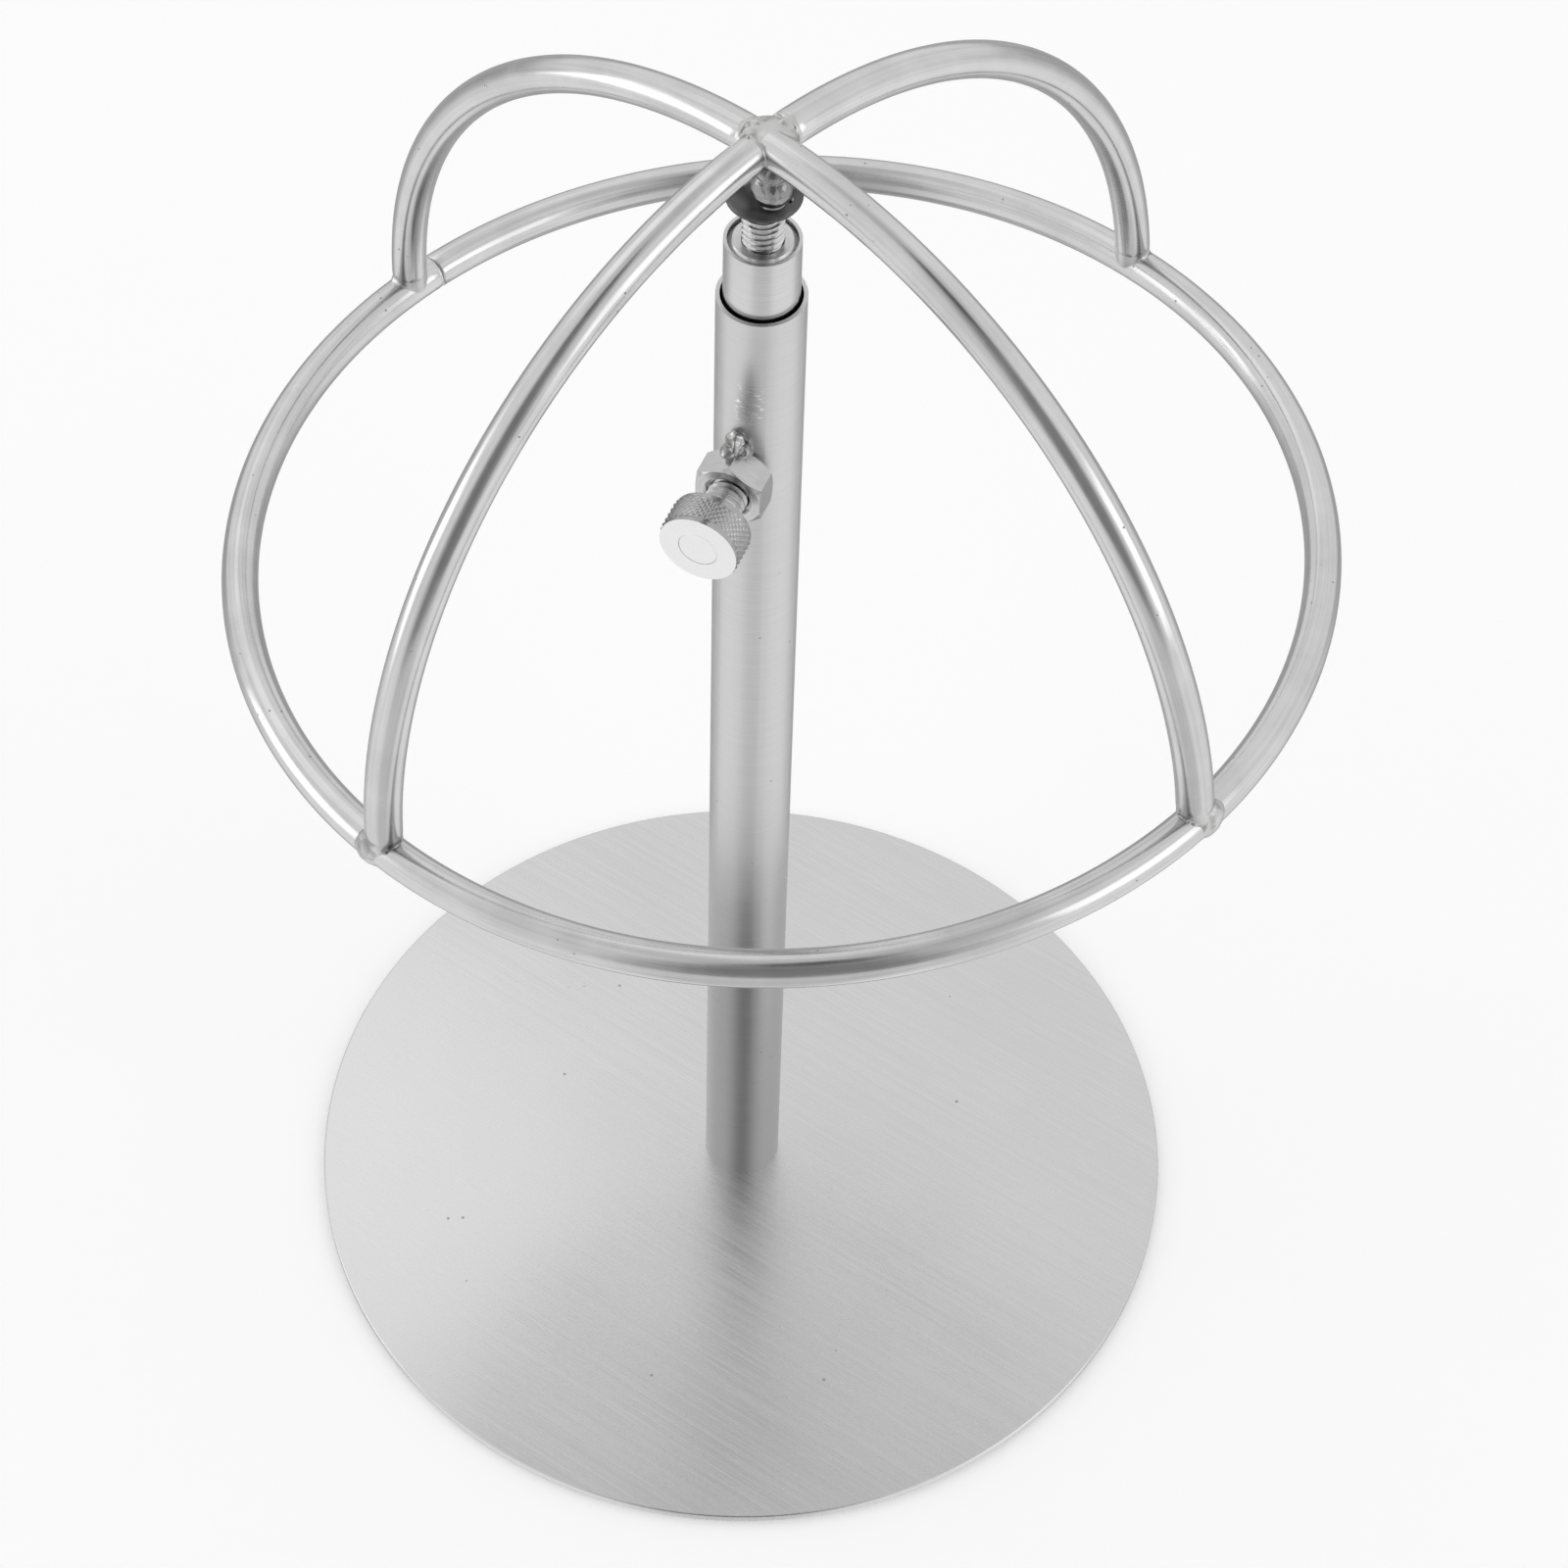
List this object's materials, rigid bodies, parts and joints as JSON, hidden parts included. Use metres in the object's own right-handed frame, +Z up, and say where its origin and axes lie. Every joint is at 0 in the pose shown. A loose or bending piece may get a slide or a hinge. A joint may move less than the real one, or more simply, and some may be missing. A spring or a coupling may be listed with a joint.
{
  "type": "hat display stand",
  "caption": "Free-standing hat stand: round plate, telescoping tube post clamped by a knurled thumbscrew, and a half-round dome of bent wire screwed on top.",
  "frame": {"origin": "centre of the base plate's underside, on the post's axis", "axes": "+Z up along the post, -Y the way the thumbscrew points"},
  "size_m": [0.1647, 0.1649, 0.2517],
  "materials": {
    "brushed_plate": "straight-brushed stainless sheet",
    "brushed_tube": "stainless tube polished around its axis with a fine belt",
    "drawn_wire": "bright drawn stainless wire, lightly polished",
    "weld_metal": "ground weld with dark crevices",
    "bright_nickel": "nickel plate, bright",
    "dark_screw": "heat-darkened steel, satin",
    "turned_plug": "turned steel"
  },
  "bodies": {
    "stand": {"base_plate": "brushed_plate", "base_screw": "dark_screw", "foot_plug": "turned_plug", "post_tube": "brushed_tube", "clamp_nut": "bright_nickel", "nut_weld": "weld_metal"},
    "thumbscrew": {"thumb_stud": "turned_plug"},
    "knob": {"thumb_knob": "bright_nickel"},
    "mast": {"inner_tube": "brushed_tube"},
    "mast_head": {"tube_plug": "turned_plug"},
    "hub": {"hub_screw": "dark_screw"},
    "cage": {"hub_weld": "weld_metal", "cage_ring": "drawn_wire", "rib_back_right": "drawn_wire", "rib_back_left": "drawn_wire", "rib_front_left": "drawn_wire", "rib_front_right": "drawn_wire", "weld_back_right": "weld_metal", "weld_back_left": "weld_metal", "weld_front_left": "weld_metal", "weld_front_right": "weld_metal"}
  },
  "joints": [
    {"name": "height_slide", "type": "slide", "parent": "stand", "child": "mast", "axis": [0, 0, 1], "range_m": [-0.011, 0.13]},
    {"name": "mast_turn", "type": "hinge", "parent": "mast", "child": "mast_head", "pos_m": [0, 0, 0.22], "axis": [0, 0, 1], "continuous": true},
    {"name": "cage_rise", "type": "slide", "parent": "mast_head", "child": "hub", "axis": [0, 0, 1], "range_m": [-0.0062, 0.0062]},
    {"name": "cage_turn", "type": "hinge", "parent": "hub", "child": "cage", "pos_m": [0, 0, 0.24], "axis": [0, 0, 1], "range_deg": [-2160, 2160]},
    {"name": "screw_advance", "type": "slide", "parent": "stand", "child": "thumbscrew", "axis": [0, -1, 0], "range_m": [0, 0.0031]},
    {"name": "knob_turn", "type": "hinge", "parent": "thumbscrew", "child": "knob", "pos_m": [0, -0.019, 0.1895], "axis": [0, -1, 0], "range_deg": [0, 1080]}
  ],
  "couplings": [
    {"joint": "cage_rise", "follows": "cage_turn", "m_per_rad": 0.00015915},
    {"joint": "screw_advance", "follows": "knob_turn", "m_per_rad": 0.00015915}
  ]
}
